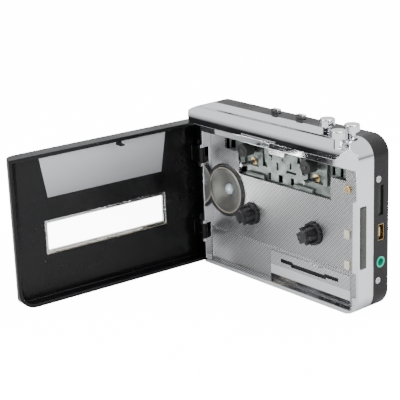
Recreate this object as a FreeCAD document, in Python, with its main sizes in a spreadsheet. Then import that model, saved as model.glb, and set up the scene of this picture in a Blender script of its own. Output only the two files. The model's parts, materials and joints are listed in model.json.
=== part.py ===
"""Portable cassette player with its door hinged at the left and swung open.

Frame: +X right, +Y back, +Z up, in millimetres. The origin is on the surface that the
player stands on, under the middle of the closed casing's width and depth.
"""
import FreeCAD, Part
import math
import os
import re
from FreeCAD import Placement, Rotation, Vector

# Every size that can be set by itself. Lengths in millimetres, angles in degrees.
SIZES = {
    # casing
    "body_width": 114.5,
    "body_height": 82.0,
    "body_depth": 29.0,
    "corner_round": 9.0,
    "door_depth": 7.8,
    "shell_depth": 11.5,
    "casing_wall": 1.6,
    "back_round": 2.5,
    "hood_height": 7.5,
    "hood_round": 12.0,
    "hood_corner": 13.0,
    "hood_wall": 1.8,
    "scoop_width": 23.0,
    "scoop_radius": 5.5,
    "scoop_depth": 1.5,
    # cassette well
    "cassette_width": 100.4,
    "cassette_room": 0.4,
    "well_shift": 2.8,
    "well_foot": 2.2,
    "well_side_wall": 1.1,
    "well_right_wall": 1.65,
    "floor_setback": 5.5,
    "floor_thick": 1.2,
    "ledge": 1.4,
    "lip_height": 5.5,
    "lip_thick": 1.2,
    "reel_spacing": 42.5,
    "reel_drop": 29.0,
    # clearances
    "fit_gap": 0.02,
    "run_gap": 0.05,
    "free_gap": 0.3,
    # batteries
    "cell_diameter": 14.0,
    "cell_length": 49.6,
    "cell_nub": 0.9,
    "strip_height": 14.9,
    "strip_rise": 1.1,
    "strip_thick": 1.0,
    "contact_thick": 0.4,
    "contact_spring": 2.3,
    "hatch_length": 52.5,
    "hatch_margin": 5.4,
    # door
    "door_wall": 1.6,
    "door_round": 7.0,
    "pivot_inset": 7.95,
    "pivot_back": 0.5,
    "open_angle": 95.0,
    "knuckle_radius": 1.8,
    "knuckle_height": 8.0,
    "low_knuckle": 16.8,
    "high_knuckle": 56.6,
    "hinge_pin_radius": 0.8,
    "hinge_lug": 1.5,
    "window_left": -29.4,
    "window_width": 65.6,
    "window_low": 24.0,
    "window_height": 13.8,
    "panel_left": -31.3,
    "panel_width": 68.6,
    "panel_slant": 3.3,
    "panel_low": 51.6,
    "panel_height": 17.4,
    "pane_thick": 1.0,
    # deck
    "plate_gap": 0.9,
    "plate_thick": 1.0,
    "plate_low": 20.0,
    "plate_top": 72.0,
    "pinion_teeth": 16,
    "idler_teeth": 34,
    "take_up_teeth": 20,
    "gear_slack": 0.05,
    "capstan_radius": 1.0,
    "flywheel_radius": 10.5,
    "flywheel_thick": 2.2,
    "gear_thick": 1.0,
    "gear_module": 0.5,
    "roller_radius": 3.2,
    "roller_length": 5.5,
    "head_travel": 2.4,
    "bridge_thick": 0.8,
    "belt_thick": 0.6,
    "belt_width": 1.2,
    "pulley_radius": 2.5,
    "motor_radius": 10.5,
    "motor_length": 6.6,
    "motor_drop": 21.7,
    "spindle_base_radius": 5.5,
    "spindle_hub_radius": 3.3,
    "spindle_spline": 1.1,
    "spindle_reach": 8.3,
    "axle_radius": 1.6,
    "bush_radius": 2.2,
    # speaker
    "speaker_radius": 13.3,
    "speaker_x": -37.0,
    "speaker_z": 39.6,
    "speaker_rise": 0.8,
    "speaker_basket": 6.0,
    "magnet_radius": 7.5,
    "magnet_length": 4.0,
    # electronics at the right-hand side
    "board_thick": 1.2,
    "board_face": 10.2,
    "board_width": 23.0,
    "board_low": 19.0,
    "board_height": 52.0,
    "usb_level": 37.7,
    "usb_length": 9.0,
    "usb_height": 7.7,
    "usb_thick": 3.9,
    "card_level": 53.0,
    "card_slot": 14.2,
    "card_slot_thick": 3.4,
    "jack_level": 23.6,
    "jack_radius": 2.65,
    "jack_bore": 1.8,
    "jack_length": 12.0,
    "port_line": 7.8,
    # side screws
    "side_screw_low": 14.9,
    "side_screw_high": 63.1,
    "side_screw_line": 6.3,
    "screw_radius": 0.95,
    "screw_head_radius": 1.5,
    "screw_head": 0.7,
    "screw_length": 1.9,
    # keys and switches on the top
    "key_radius": 3.6,
    "key_cap": 3.4,
    "key_stem": 2.0,
    "key_travel": 1.3,
    "key_gap": 2.4,
    "stop_key_x": 31.2,
    "forward_key_x": 46.3,
    "back_keys_y": 0.6,
    "play_key_x": 47.0,
    "play_key_y": -9.0,
    "play_key_gap": 1.5,
    "switch_travel": 3.0,
    "switch_knob": 4.5,
    "switch_depth": 2.4,
    "switch_rise": 2.2,
    "first_switch_x": -9.7,
    "first_switch_y": 8.0,
    "second_switch_x": 7.1,
    "second_switch_y": 8.0,
    # volume roller in the right rail
    "volume_radius": 2.2,
    "volume_length": 28.8,
    "volume_level": 37.8,
    "volume_proud": 1.1,
    "volume_room": 0.15,
}

# Places that follow from the sizes.
PLACES = {
    "half_width": "body_width / 2",
    "front": "-body_depth / 2",
    "back": "body_depth / 2",
    "rim": "front + door_depth",
    "split": "back - shell_depth",
    "inner_back": "back - casing_wall",
    "inner_side": "half_width - casing_wall",
    "hood_base": "body_height - hood_height",
    "well_left": "well_shift - cassette_width / 2 - cassette_room",
    "well_right": "well_shift + cassette_width / 2 + cassette_room",
    "floor_front": "rim + floor_setback",
    "floor_back": "floor_front + floor_thick",
    "lip_low": "hood_base - lip_height",
    "reel_level": "well_foot + cassette_room + reel_drop",
    "reel_left": "well_shift - reel_spacing / 2",
    "reel_right": "well_shift + reel_spacing / 2",
    "strip_front": "floor_front - strip_rise",
    "strip_back": "strip_front + strip_thick",
    "strip_top": "well_foot + strip_height",
    "hatch_right": "well_right - hatch_margin",
    "hatch_left": "hatch_right - hatch_length",
    "cell_line": "strip_back + 0.1 + cell_diameter / 2",
    "cell_level": "well_foot + free_gap + cell_diameter / 2",
    "cells_right": "inner_side - 4.05",
    "cells_left": "cells_right - 2 * cell_length",
    "pivot_x": "-half_width + pivot_inset",
    "pivot_y": "rim + pivot_back",
    "hinge_room_right": "well_left - well_side_wall",
    "hinge_room_back": "pivot_y + pivot_inset + free_gap",
    "door_top": "hood_base - 2 * free_gap",
    "plate_front": "floor_back + plate_gap",
    "plate_back": "plate_front + plate_thick",
    "gear_front": "plate_back + free_gap",
    "gear_back": "gear_front + gear_thick",
    "wheel_front": "gear_back + free_gap",
    "wheel_back": "wheel_front + flywheel_thick",
    "belt_front": "wheel_front + (flywheel_thick - belt_width) / 2",
    "bracket_front": "wheel_back + free_gap + 0.4",
    "idler_level": "reel_level + gear_module * (take_up_teeth + idler_teeth) / 2 + gear_slack",
    "capstan_level": "idler_level + gear_module * (idler_teeth + pinion_teeth) / 2 + gear_slack",
    "motor_level": "capstan_level - motor_drop",
    "motor_front": "wheel_back + free_gap",
    "bridge_front": "floor_back - 0.5",
    "bridge_back": "bridge_front + bridge_thick",
    "bridge_low": "capstan_level - 2.2",
    "roller_level": "capstan_level + capstan_radius + roller_radius + free_gap + head_travel",
    "speaker_front": "floor_front - speaker_rise",
    "board_right": "inner_side - 0.6",
    "volume_x": "half_width + volume_proud - volume_radius",
    "housing_low": "volume_level - volume_length / 2 - 2.5",
    "housing_high": "volume_level + volume_length / 2 + 2.5",
    "volume_y": "rim + 0.5 + volume_radius + free_gap",
}

TURNS = {"x": Rotation(Vector(0, 1, 0), 90), "y": Rotation(Vector(1, 0, 0), -90), "z": Rotation()}

doc = FreeCAD.newDocument("CassettePlayer")
sheet = doc.addObject("Spreadsheet::Sheet", "Sizes")
derived = doc.addObject("App::FeaturePython", "Places")
nodes = {}


def bound(text):
    """Turn a formula of size and place names into a FreeCAD expression on the sheet."""
    def swap(match):
        word = match.group(0)
        if word in SIZES:
            return "Sizes." + word
        if word in PLACES:
            return "(" + bound(PLACES[word]) + ")"
        return word
    return re.sub(r"[a-z_]+", swap, str(text))


def fill_sheet():
    for row, (alias, value) in enumerate(SIZES.items(), start=1):
        sheet.set("A%d" % row, alias)
        sheet.set("B%d" % row, str(value))
        sheet.setAlias("B%d" % row, alias)
    doc.recompute()
    for name in PLACES:
        derived.addProperty("App::PropertyFloat", name)
        derived.setExpression(name, bound(PLACES[name]))
    doc.recompute()


def number(name):
    """The present value of one size or place."""
    return float(getattr(sheet if name in SIZES else derived, name))


# ---------------------------------------------------------------- building blocks

def box(name, x, y, z):
    """A block between a low and a high formula along each axis."""
    block = doc.addObject("Part::Box", name)
    for size, axis, (low, high) in zip(("Length", "Width", "Height"), "xyz", (x, y, z)):
        block.setExpression(size, bound("(%s) - (%s)" % (high, low)))
        block.setExpression("Placement.Base." + axis, bound(low))
    return block


def place(piece, axis, start):
    piece.Placement = Placement(Vector(), TURNS[axis])
    for along, formula in zip("xyz", start):
        piece.setExpression("Placement.Base." + along, bound(formula))
    return piece


def rod(name, axis, radius, start, length):
    """A cylinder from start along +axis."""
    piece = doc.addObject("Part::Cylinder", name)
    piece.setExpression("Radius", bound(radius))
    piece.setExpression("Height", bound(length))
    return place(piece, axis, start)


def taper(name, axis, first, second, start, length):
    """A cone frustum from radius first to radius second."""
    piece = doc.addObject("Part::Cone", name)
    piece.setExpression("Radius1", bound(first))
    piece.setExpression("Radius2", bound(second))
    piece.setExpression("Height", bound(length))
    return place(piece, axis, start)


def fuse(name, *shapes):
    if len(shapes) == 1:
        return shapes[0]
    piece = doc.addObject("Part::MultiFuse", name)
    piece.Shapes = list(shapes)
    piece.Refine = True
    return piece


def common(name, *shapes):
    piece = doc.addObject("Part::MultiCommon", name)
    piece.Shapes = list(shapes)
    return piece


def cut(name, base, *tools):
    piece = doc.addObject("Part::Cut", name)
    piece.Base = base
    piece.Tool = fuse(name + "_tools", *tools)
    piece.Refine = True
    return piece


def rounded(name, base, radius, pick):
    """Round the edges that pick accepts; radius is a number."""
    doc.recompute()
    piece = doc.addObject("Part::Fillet", name)
    piece.Base = base
    chosen = [i for i, edge in enumerate(base.Shape.Edges, start=1) if pick(edge)]
    piece.Edges = [(i, radius, radius) for i in chosen]
    return piece


def runs_along(edge, axis):
    """Whether a straight edge is parallel to an axis."""
    if not isinstance(edge.Curve, Part.Line):
        return False
    return abs(abs(edge.Curve.Direction.dot(axis)) - 1) < 1e-6


def middle(edge):
    return edge.BoundBox.Center


X, Y, Z = Vector(1, 0, 0), Vector(0, 1, 0), Vector(0, 0, 1)


def slab(name, x, y, z, radius):
    """A block whose four edges along Y are rounded."""
    return rounded(name, box(name + "_block", x, y, z), radius, lambda e: runs_along(e, Y))


def node(label, piece):
    """Give the finished object its name as a sub-part."""
    piece.Label = label
    nodes[label] = piece
    return piece


def profile_solid(name, points, axis_vector):
    """A prism from a closed outline of points, for shapes that no primitive gives."""
    face = Part.Face(Part.makePolygon(points + [points[0]]))
    piece = doc.addObject("Part::Feature", name)
    piece.Shape = face.extrude(axis_vector)
    return piece


# ---------------------------------------------------------------- casing

def hood_form(name, inset, y_back):
    """The hood's outer form or, inset by its wall, its hollow: three rounded blocks crossed."""
    wall = number("hood_wall") if inset else 0
    half = "half_width - %s" % (inset or "0")
    top = "body_height - %s" % (inset or "0")
    front = "front + %s" % (inset or "0")
    low = "hood_base + %s" % (inset or "0")
    wide = ("-(%s)" % half, half)
    face_on = slab(name + "_face", wide, (front, y_back), ("0", top), number("corner_round") - wall)
    side_on = rounded(name + "_side", box(name + "_side_block", wide, (front, y_back), ("0", top)),
                      number("hood_round") - wall,
                      lambda e: runs_along(e,
                                           X) and middle(e).y < 0 and middle(e).z > number("hood_base") + 3)
    from_top = rounded(name + "_plan", box(name + "_plan_block", wide, (front, y_back), (low, top)),
                       number("hood_corner") - wall,
                       lambda e: runs_along(e, Z) and middle(e).y < 0)
    return common(name, face_on, side_on, from_top)


def front_frame():
    """Chromed front moulding: hood, rails round the cassette well and the ledge for its floor."""
    wide = ("-half_width", "half_width")
    rails = slab("rails", wide, ("rim", "split"), ("0", "body_height"), number("corner_round"))
    body = fuse("frame_body", rails, hood_form("hood", "", "split"))
    well = box("well_space", ("well_left", "well_right"), ("rim - 1", "floor_back"), ("well_foot", "lip_low"))
    behind_lip = box("lip_space", ("well_left", "well_right"), ("rim + lip_thick", "floor_back"),
                     ("lip_low - 1", "hood_base"))
    inside = box("frame_space", ("well_left + ledge", "well_right - ledge"), ("floor_back - 1", "split + 1"),
                 ("strip_top + 1", "hood_base - 1"))
    hollow = hood_form("hood_space", "hood_wall", "split + 1")
    bay = box("bay_space", ("cells_left - contact_thick", "cells_right + contact_spring + contact_thick"),
              ("strip_front - 1", "split + 1"),
              ("well_foot", "strip_top"))
    speaker_room = rod("speaker_room", "y", "speaker_radius + 0.25",
                       ("speaker_x", "speaker_front - 0.3", "speaker_z"),
                       "split - speaker_front + 1")
    hinge_room = box("hinge_room", ("-half_width - 1", "hinge_room_right"), ("rim - 1", "hinge_room_back"),
                     ("-1", "hood_base - free_gap / 2"))
    latch = box("latch_slot", ("-5", "0.6"), ("rim - 1", "rim + lip_thick + 1"),
                ("lip_low + 1", "lip_low + 2.3"))
    notches = [box("notch_%s" % level, ("hinge_room_right - 1", "well_left + 0.5"),
                   ("rim - 1", "pivot_y + 3.4"),
                   (level + " - knuckle_height / 2", level + " + knuckle_height / 2"))
               for level in ("low_knuckle", "high_knuckle")]
    roller = rod("volume_room", "z", "volume_radius + volume_room",
                 ("volume_x", "volume_y", "volume_level - volume_length / 2 - free_gap"),
                 "volume_length + 2 * free_gap")
    scoop = rod("scoop", "x", "scoop_radius",
                ("-scoop_width / 2", "front - scoop_radius + scoop_depth", "hood_base + 1.5"),
                "scoop_width")
    keys = [rod("key_hole_%d" % i, "z", "key_stem + run_gap", (x, y, "hood_base + hood_wall - 0.5"),
                "hood_height")
            for i, (x, y) in enumerate(key_places())]
    thin_wide = ("well_right - 1", "half_width - well_right_wall")
    thin_low = box("thin_wall_low", thin_wide, ("rim - 1", "strip_front"), ("corner_round", "housing_low"))
    thin_high = box("thin_wall_high", thin_wide, ("rim - 1", "floor_front"), ("housing_high", "lip_low"))
    open_frame = cut("open_frame", body, well, thin_low, thin_high, behind_lip, inside, hollow, bay,
                     speaker_room, hinge_room,
                     latch,
                     roller, *(notches + keys))
    scooped = cut("scooped_frame", open_frame, scoop)
    lugs = []
    for level in ("low_knuckle", "high_knuckle"):
        for side in (-1, 1):
            low = "%s + %d * (knuckle_height / 2 + hinge_lug / 2) - hinge_lug / 2" % (level, side)
            lugs.append(hinge_lug("lug_%s_%d" % (level, side), low))
    tabs = []
    for level in ("side_screw_low", "side_screw_high"):
        tabs.append(box("tab_right_" + level, ("inner_side - 1.1", "inner_side"),
                        ("split - 0.5", "side_screw_line + 2.6"),
                        (level + " - 2.3", level + " + 2.3")))
        tabs.append(box("tab_left_" + level, ("-inner_side", "-inner_side + 1.1"),
                        ("split - 0.5", "side_screw_line + 2.6"), (level + " - 2.3", level + " + 2.3")))
    whole = fuse("frame_whole", scooped, *(lugs + tabs))
    bores = [rod("pin_bore_" + level, "z", "hinge_pin_radius + fit_gap",
                 ("pivot_x", "pivot_y", level + " - 6"), "12")
             for level in ("low_knuckle", "high_knuckle")]
    screw_bores = [rod("tab_bore_%s_%d" % (level, i), "x", "screw_radius + run_gap",
                       (x, "side_screw_line", level), "4")
                   for level in ("side_screw_low", "side_screw_high")
                   for i, x in enumerate(("-inner_side - 1", "inner_side - 3"))]
    axle = rod("volume_bore", "z", "0.6 + run_gap",
               ("volume_x", "volume_y", "volume_level - volume_length / 2 - 1.2"),
               "volume_length + 2.4")
    return node("front_frame", cut("frame", whole, axle, *(bores + screw_bores)))


def hinge_lug(name, low):
    """One ear of the frame that holds an end of a hinge pin."""
    arm = box(name + "_arm", ("pivot_x", "well_left"),
              ("pivot_y - knuckle_radius", "pivot_y + knuckle_radius"),
              (low, low + " + hinge_lug - free_gap / 2"))
    eye = rod(name + "_eye", "z", "knuckle_radius", ("pivot_x", "pivot_y", low), "hinge_lug - free_gap / 2")
    return fuse(name, arm, eye)


def key_places():
    return (("stop_key_x", "back_keys_y"), ("forward_key_x", "back_keys_y"), ("play_key_x", "play_key_y"))


def rear_shell():
    """Black back shell with the ports in its right-hand wall."""
    wide = ("-half_width", "half_width")
    outer = slab("shell_outer", wide, ("split", "back"), ("0", "body_height"), number("corner_round"))
    outer = rounded("shell_soft", outer, number("back_round"),
                    lambda e: abs(e.BoundBox.YMin - number("back")) < 1e-6 and e.BoundBox.YLength < 1e-6)
    inner = slab("shell_inner", ("-inner_side", "inner_side"), ("split - 1", "inner_back"),
                 ("casing_wall", "body_height - casing_wall"), number("corner_round") - number("casing_wall"))
    usb = box("usb_hole", ("inner_side - 1", "half_width + 1"),
              ("board_face - usb_thick - 0.2", "board_face + 0.2"),
              ("usb_level - usb_height / 2 - 0.2", "usb_level + usb_height / 2 + 0.2"))
    card = box("card_hole", ("inner_side - 1", "half_width + 1"),
               ("port_line - card_slot_thick / 2", "port_line + card_slot_thick / 2"),
               ("card_level - card_slot / 2", "card_level + card_slot / 2"))
    jack = rod("jack_hole", "x", "jack_radius + run_gap", ("inner_side - 1", "port_line", "jack_level"),
               "casing_wall + 2")
    screws = []
    for level in ("side_screw_low", "side_screw_high"):
        screws.append(rod("shell_bore_" + level, "x", "screw_radius + run_gap",
                          ("-half_width - 1", "side_screw_line", level), "body_width + 2"))
        screws.append(rod("sink_right_" + level, "x", "screw_head_radius + run_gap",
                          ("half_width - screw_head", "side_screw_line", level), "screw_head + 1"))
        screws.append(rod("sink_left_" + level, "x", "screw_head_radius + run_gap",
                          ("-half_width - 1", "side_screw_line", level), "screw_head + 1"))
    slots = [box("switch_slot_%d" % i, (x + " - switch_travel", x + " + switch_travel"),
                 (y + " - 0.8", y + " + 0.8"), ("body_height - casing_wall - 1", "body_height + 1"))
             for i, (x, y) in enumerate(switch_places())]
    shell = cut("shell_open", outer, inner, usb, card, jack, *(screws + slots))
    posts = [rod("board_post_%d" % i, "y", "2", (x, "board_face + board_thick", z),
                 "inner_back - board_face - board_thick + 0.5")
             for i, (x, z) in enumerate((("board_right - 4", "board_low + 4"),
                                         ("board_right - board_width + 4", "board_low + 4"),
                                         ("board_right - 4", "board_low + board_height - 4")))]
    speaker_post = rod("speaker_post", "y", "5",
                       ("speaker_x", "speaker_front + speaker_basket + magnet_length", "speaker_z"),
                       "inner_back - speaker_front - speaker_basket - magnet_length + 0.5")
    motor_post = rod("motor_post", "y", "4", ("well_shift", "motor_front + motor_length", "motor_level"),
                     "inner_back - motor_front - motor_length + 0.5")
    return node("rear_shell", fuse("shell", shell, speaker_post, motor_post, *posts))


def switch_places():
    return (("first_switch_x", "first_switch_y"), ("second_switch_x", "second_switch_y"))


def side_screws():
    """Four equal screws that hold the back shell to the frame, two in each side."""
    pieces = []
    for level in ("side_screw_low", "side_screw_high"):
        right = "half_width - screw_head - screw_length"
        pieces.append(cross_screw("screw_right_" + level, "half_width - screw_head", right, level, 1))
        pieces.append(cross_screw("screw_left_" + level, "-half_width", "-half_width + screw_head", level,
                                  -1))
    return node("side_screws", fuse("screws", *pieces))


def cross_screw(name, head_start, shank_start, level, side):
    head = rod(name + "_head", "x", "screw_head_radius", (head_start, "side_screw_line", level), "screw_head")
    shank = rod(name + "_shank", "x", "screw_radius", (shank_start, "side_screw_line", level), "screw_length")
    outer = "half_width - 0.35" if side > 0 else "-half_width"
    arms = [box(name + "_slot_%d" % i, (outer, outer + " + 0.35"), y, z)
            for i, (y, z) in enumerate(((("side_screw_line - 1.2", "side_screw_line + 1.2"),
                                         (level + " - 0.25", level + " + 0.25")),
                                        (("side_screw_line - 0.25", "side_screw_line + 0.25"),
                                         (level + " - 1.2", level + " + 1.2"))))]
    return cut(name, fuse(name + "_body", head, shank), *arms)


# ---------------------------------------------------------------- well floor and batteries

def well_floor():
    """Ribbed floor of the well, raised over the battery bay, with the deck's window in it."""
    edge = "0.1"
    plate = box("floor_plate", ("well_left + " + edge, "well_right - " + edge), ("floor_front", "floor_back"),
                ("strip_top", "hood_base - 0.6"))
    step = box("floor_step", ("well_left + " + edge, "well_right - " + edge), ("strip_front", "floor_back"),
               ("strip_top - 0.2", "strip_top + 0.8"))
    strip_left = box("strip_left", ("well_left + " + edge, "hatch_left - 0.2"), ("strip_front", "strip_back"),
                     ("well_foot + 0.1", "strip_top + 0.8"))
    strip_right = box("strip_right", ("hatch_right + 0.2", "well_right - " + edge),
                      ("strip_front", "strip_back"),
                      ("well_foot + 0.1", "strip_top + 0.8"))
    bosses = [rod("floor_boss_%d" % i, "y", "2.4", (x, "floor_back - 0.5", z), "plate_gap + 0.5")
              for i, (x, z) in enumerate(deck_screw_places() + floor_screw_places())]
    window = box("deck_window", ("well_shift - 30.2", "well_shift + 32.2"),
                 ("floor_front - 2", "floor_back + 2"),
                 ("capstan_level - 7.6", "hood_base - 2.6"))
    window_top = box("deck_window_top", ("well_shift - 40", "well_shift + 41.7"),
                     ("floor_front - 2", "floor_back + 2"),
                     ("capstan_level + 3.4", "hood_base - 2.6"))
    holes = [rod("reel_hole_%d" % i, "y", "spindle_base_radius + 0.2", (x, "floor_front - 1", "reel_level"),
                 "floor_thick + 2") for i, x in enumerate(("reel_left", "reel_right"))]
    speaker = rod("speaker_hole", "y", "speaker_radius + 0.25", ("speaker_x", "floor_front - 1", "speaker_z"),
                  "floor_thick + 2")
    screw = [rod("floor_bore_%d" % i, "y", "screw_radius + run_gap", (x, start, z), "8")
             for i, (x, start, z) in enumerate([(x, "floor_front + 0.6", z) for x, z in deck_screw_places()]
                                               + [(x, "floor_front - 1", z) for x,
                                                  z in floor_screw_places()])]
    body = fuse("floor_body", plate, step, strip_left, strip_right, *bosses)
    return node("well_floor", cut("floor", body, window, window_top, speaker, *(holes + screw)))


def floor_screw_places():
    """The one screw that shows, in the well's upper right."""
    return (("well_right - 7.6", "capstan_level"),)


def deck_screw_places():
    """Where screws from behind hold the deck plate to the floor's bosses."""
    return (("well_right - 4.2", "plate_low + 4"), ("reel_left + 6", "plate_low + 3"),
            ("well_shift - 35.1", "capstan_level"))


def floor_screws():
    """The screw through the floor into the deck plate, and the screws from behind the plate."""
    for x, z in floor_screw_places():
        head = rod("floor_head", "y", "1.9", (x, "floor_front - 0.9", z), "0.9")
        shank = rod("floor_shank", "y", "screw_radius", (x, "floor_front - 0.1", z),
                    "floor_thick + plate_gap + plate_thick + 0.4")
        node("floor_screw", cut("floor_screw_whole", fuse("floor_screw_body", head, shank),
                                *cross("floor_slot", x, z,
             ("floor_front - 1", "floor_front - 0.55"))))
    pieces = []
    for i, (x, z) in enumerate(deck_screw_places()):
        head = rod("deck_head_%d" % i, "y", "1.7", (x, "plate_back", z), "0.8")
        shank = rod("deck_shank_%d" % i, "y", "screw_radius", (x, "floor_front + 0.7", z),
                    "plate_back - floor_front - 0.6")
        pieces.append(cut("deck_screw_%d" % i, fuse("deck_screw_body_%d" % i, head, shank),
                          *cross("deck_slot_%d" % i, x, z, ("plate_back + 0.5", "plate_back + 1"))))
    return node("deck_screws", fuse("deck_screw_set", *pieces))


def cross(name, x, z, depth):
    """The two bars of a cross recess in a screw whose axis runs along Y."""
    return [box(name + "_across", (x + " - 1.2", x + " + 1.2"), depth, (z + " - 0.25", z + " + 0.25")),
            box(name + "_upright", (x + " - 0.25", x + " + 0.25"), depth, (z + " - 1.2", z + " + 1.2"))]


def well_pads():
    """Two small pads at the right of the floor that steady the cassette."""
    pads = [box("pad_%d" % i, ("well_right - 9.6", "well_right - 6.4"), ("floor_front - 0.7", "floor_front"),
                (low, low + " + 4")) for i, low in enumerate(("reel_level + 2.6", "strip_top + 2.2"))]
    return node("well_pads", fuse("pads", *pads))


def battery_hatch():
    """Cover over the battery bay, hinged on a bead along its lower edge."""
    panel = box("hatch_panel", ("hatch_left", "hatch_right"), ("strip_front", "strip_back"),
                ("well_foot + 0.5", "strip_top - 0.4"))
    low_bead = rod("hatch_bead", "x", "strip_thick / 2",
                   ("hatch_left", "strip_front + strip_thick / 2", "well_foot + 0.6"),
                   "hatch_length")
    notch = rod("finger_notch", "y", "12", ("hatch_left + 31", "strip_front - 1", "strip_top + 10.6"),
                "strip_thick / 2 + 1")
    slot_low = box("hatch_slot_low", ("hatch_left + 14", "hatch_left + 37"),
                   ("strip_front - 1", "strip_back + 1"),
                   ("strip_top - 6.2", "strip_top - 4.2"))
    slot_ends = [box("hatch_slot_%d" % i, ends, ("strip_front - 1", "strip_back + 1"),
                     ("strip_top - 5.3", "strip_top - 3.5"))
                 for i, ends in enumerate((("hatch_left + 7", "hatch_left + 15"),
                                           ("hatch_left + 36", "hatch_left + 45")))]
    return node("battery_cover", cut("hatch", fuse("hatch_body", panel, low_bead), notch, slot_low,
                                     *slot_ends))


def batteries():
    for label, start in (("battery_left", "cells_left"), ("battery_right", "cells_left + cell_length")):
        body = rod(label + "_body", "x", "cell_diameter / 2", (start, "cell_line", "cell_level"),
                   "cell_length - cell_nub - 0.05")
        nub = rod(label + "_nub", "x", "2.6", (start, "cell_line", "cell_level"), "cell_length - 0.05")
        node(label, fuse(label + "_cell", body, nub))


def battery_contacts():
    """A leaf at each end of the pair of cells."""
    height = ("cell_level - 3", "cell_level + 3")
    left = box("contact_left", ("cells_left - contact_thick + 0.02", "cells_left - 0.02"),
               ("cell_line - 4", "cell_line + 4"), height)
    right = box("contact_right", ("cells_right + contact_spring",
                                  "cells_right + contact_spring + contact_thick"),
                ("cell_line - 4", "cell_line + 4"), height)
    spring = taper("contact_spring_cone", "x", "2.2", "3.4",
                   ("cells_right + 0.05", "cell_line", "cell_level"),
                   "contact_spring - 0.05")
    return node("battery_contacts", fuse("contacts", left, right, spring))


# ---------------------------------------------------------------- door

def door_form(name, inset):
    """The door's outer tray or, inset by its wall, the hollow of the tray, in the closed place."""
    wall = number("door_wall") if inset else 0
    step = inset or "0"
    wide = ("-half_width + %s" % step, "half_width - 0.2 - (%s)" % step)
    deep = ("front + %s" % step, "rim - 0.15 + (%s)" % step)
    tall = ("free_gap + %s" % step, "door_top - (%s)" % step)
    face_on = rounded(name + "_face", box(name + "_face_block", wide, deep, tall),
                      number("corner_round") - wall,
                      lambda e: runs_along(e, Y) and middle(e).z < 10)
    from_top = rounded(name + "_plan", box(name + "_plan_block", wide, deep, tall),
                       number("door_round") - wall,
                       lambda e: runs_along(e, Z) and middle(e).y < number("rim") - 4)
    return common(name, face_on, from_top)


def swung(label, piece):
    """Turn a finished piece of the closed door about the hinge to the open place."""
    pivot = Vector(number("pivot_x"), number("pivot_y"), 0)
    turn = Rotation(Z, -number("open_angle"))
    piece.Placement = Placement(pivot - turn.multVec(pivot), turn)
    return node(label, piece)


def panel_points(y, grow):
    """Corners of the door's slanted upper pane, wider at the top, grown by a margin."""
    left, low = number("panel_left"), number("panel_low")
    right, top = left + number("panel_width"), low + number("panel_height")
    slant = number("panel_slant")
    return [Vector(left + slant - grow, y, low - grow), Vector(right - slant + grow, y, low - grow),
            Vector(right + grow, y, top + grow), Vector(left - grow, y, top + grow)]


def door():
    """Door tray with two openings, two hinge arms and a catch."""
    tray = cut("door_tray", door_form("door_outer", ""), door_form("door_inner", "door_wall"))
    knuckles = []
    for level in ("low_knuckle", "high_knuckle"):
        low = level + " - knuckle_height / 2 + free_gap / 2"
        height = "knuckle_height - free_gap"
        arm = box("arm_" + level, ("pivot_x - 1.2", "pivot_x + 1.2"), ("front + door_wall - 0.4", "pivot_y"),
                  (low, level + " + knuckle_height / 2 - free_gap / 2"))
        eye = rod("eye_" + level, "z", "knuckle_radius", ("pivot_x", "pivot_y", low), height)
        knuckles.append(fuse("knuckle_" + level, arm, eye))
    catch = fuse("catch", box("catch_post", ("-3.4", "-1"), ("rim - 1.8", "rim - 0.15"),
                              ("lip_low + 1.3", "door_top - 0.5")),
                 box("catch_hook", ("-3.4", "-1"), ("rim - 1.8", "rim + lip_thick + 1.2"),
                     ("lip_low + 1.3", "lip_low + 2")))
    body = fuse("door_body", tray, catch, *knuckles)
    bores = [rod("knuckle_bore_" + level, "z", "hinge_pin_radius + run_gap",
                 ("pivot_x", "pivot_y", level + " - 6"), "12")
             for level in ("low_knuckle", "high_knuckle")]
    window = box("window_hole", ("window_left", "window_left + window_width"),
                 ("front - 1", "front + door_wall + 1"),
                 ("window_low", "window_low + window_height"))
    seat = box("window_seat", ("window_left - 1.5", "window_left + window_width + 1.5"),
               ("front + door_wall - pane_thick", "front + door_wall + 1"),
               ("window_low - 1.5", "window_low + window_height + 1.5"))
    front = number("front")
    panel_hole = profile_solid("panel_hole", panel_points(front - 1, 0), Y * (number("door_wall") + 2))
    panel_seat = profile_solid("panel_seat",
                               panel_points(front + number("door_wall") - number("pane_thick"), 1.2),
                               Y * (number("pane_thick") + 1))
    swung("door_shell", cut("door", body, window, seat, panel_hole, panel_seat, *bores))
    gap = "fit_gap"
    pane = box("pane_flange", ("window_left - 1.5 + " + gap, "window_left + window_width + 1.5 - " + gap),
               ("front + door_wall - pane_thick + " + gap, "front + door_wall"),
               ("window_low - 1.5 + " + gap, "window_low + window_height + 1.5 - " + gap))
    swung("door_window", fuse("pane", pane, box("pane_face",
          ("window_left + " + gap, "window_left + window_width - " + gap),
                                                ("front + 0.1", "front + door_wall"),
          ("window_low + " + gap, "window_low + window_height - " + gap))))
    flange = profile_solid("panel_flange",
                           panel_points(front + number("door_wall") - number("pane_thick") + 0.02, 1.18),
                           Y * (number("pane_thick") - 0.02))
    face = profile_solid("panel_face", panel_points(front + 0.1, -0.02), Y * (number("door_wall") - 0.1))
    swung("door_panel", fuse("slanted_panel", flange, face))
    pins = [rod("pin_" + level, "z", "hinge_pin_radius",
                ("pivot_x", "pivot_y", level + " - knuckle_height / 2 - hinge_lug + 0.1"),
                "knuckle_height + 2 * hinge_lug - 0.2")
            for level in ("low_knuckle", "high_knuckle")]
    node("hinge_pins", fuse("pins", *pins))


# ---------------------------------------------------------------- tape deck

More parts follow.
